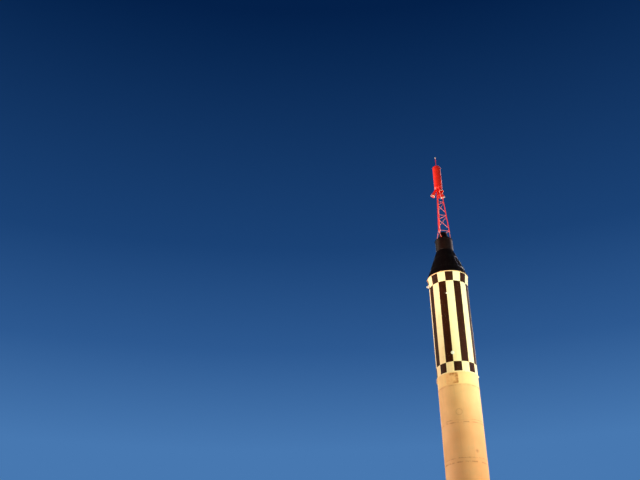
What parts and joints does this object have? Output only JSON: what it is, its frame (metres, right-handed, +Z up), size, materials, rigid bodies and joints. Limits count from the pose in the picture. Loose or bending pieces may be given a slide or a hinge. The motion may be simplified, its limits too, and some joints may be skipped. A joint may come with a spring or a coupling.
{
  "type": "suborbital crewed rocket with an escape tower",
  "caption": "Tall single-stage rocket: a round tank body with fins and steering rudders, a cone-shaped capsule with a side hatch, and a lattice escape tower with its motor.",
  "frame": {"origin": "on the rocket's long axis, in the plane under the four hold-down pads that stand on its launch stand", "axes": "+Z up along the rocket's long axis; the fins lie along +X, -X, +Y and -Y; the side hatch faces about 28 degrees from +X towards -Y; the side that the picture shows faces -Y"},
  "size_m": [3.96, 3.96, 25.41],
  "materials": {
    "cream_paint": "aged cream-white gloss paint, with dark brown stripes and checks on the upper body",
    "dark_paint": "semi-gloss near-black paint",
    "red_paint": "vivid red-orange gloss paint",
    "tan_paint": "discoloured tan paint with a dark stain",
    "bare_steel": "weathered bare steel",
    "engine_iron": "heat-stained metal",
    "graphite": "dull graphite"
  },
  "bodies": {
    "rocket": {"tail_base_ring": "bare_steel", "tail_shell": "cream_paint", "firewall": "bare_steel", "engine_bell": "engine_iron", "engine_block": "engine_iron", "fin_1": "cream_paint", "fin_2": "dark_paint", "fin_3": "cream_paint", "fin_4": "dark_paint", "oxygen_tank": "cream_paint", "fuel_tank": "cream_paint", "separation_band": "cream_paint", "instrument_section": "cream_paint", "access_cover": "tan_paint", "vent_boss_1": "cream_paint", "vent_boss_2": "cream_paint", "cable_duct_1": "cream_paint", "cable_duct_2": "cream_paint", "spacecraft_adapter": "cream_paint", "adapter_clamp_ring": "cream_paint", "stay_lug_1": "cream_paint", "stay_lug_2": "cream_paint", "stay_lug_3": "cream_paint", "capsule_cone": "dark_paint", "hatch_hinge": "bare_steel", "recovery_section": "dark_paint", "antenna_canister": "dark_paint", "tower_clamp_ring": "dark_paint", "escape_tower": "red_paint", "jettison_motor": "red_paint", "escape_motor": "red_paint", "escape_nozzle_1": "red_paint", "escape_nozzle_2": "red_paint", "escape_nozzle_3": "red_paint", "aerospike": "red_paint"},
    "steering_1": {"air_rudder_1": "cream_paint", "rudder_shaft_1": "bare_steel", "jet_vane_1": "graphite"},
    "steering_2": {"air_rudder_2": "dark_paint", "rudder_shaft_2": "bare_steel", "jet_vane_2": "graphite"},
    "steering_3": {"air_rudder_3": "cream_paint", "rudder_shaft_3": "bare_steel", "jet_vane_3": "graphite"},
    "steering_4": {"air_rudder_4": "dark_paint", "rudder_shaft_4": "bare_steel", "jet_vane_4": "graphite"},
    "hatch": {"side_hatch": "dark_paint"}
  },
  "joints": [
    {"name": "steering_1_turn", "type": "hinge", "parent": "rocket", "child": "steering_1", "pos_m": [0, -1.2, 0.25], "axis": [0, -1, 0], "range_deg": [-25, 25]},
    {"name": "steering_2_turn", "type": "hinge", "parent": "rocket", "child": "steering_2", "pos_m": [1.2, 0, 0.25], "axis": [1, 0, 0], "range_deg": [-25, 25]},
    {"name": "steering_3_turn", "type": "hinge", "parent": "rocket", "child": "steering_3", "pos_m": [0, 1.2, 0.25], "axis": [0, 1, 0], "range_deg": [-25, 25]},
    {"name": "steering_4_turn", "type": "hinge", "parent": "rocket", "child": "steering_4", "pos_m": [-1.2, 0, 0.25], "axis": [-1, 0, 0], "range_deg": [-25, 25]},
    {"name": "hatch_hinge_turn", "type": "hinge", "parent": "rocket", "child": "hatch", "pos_m": [0.71411, -0.06098, 19.03033], "axis": [-0.3424, 0.036, 0.9388], "range_deg": [0, 110]}
  ]
}
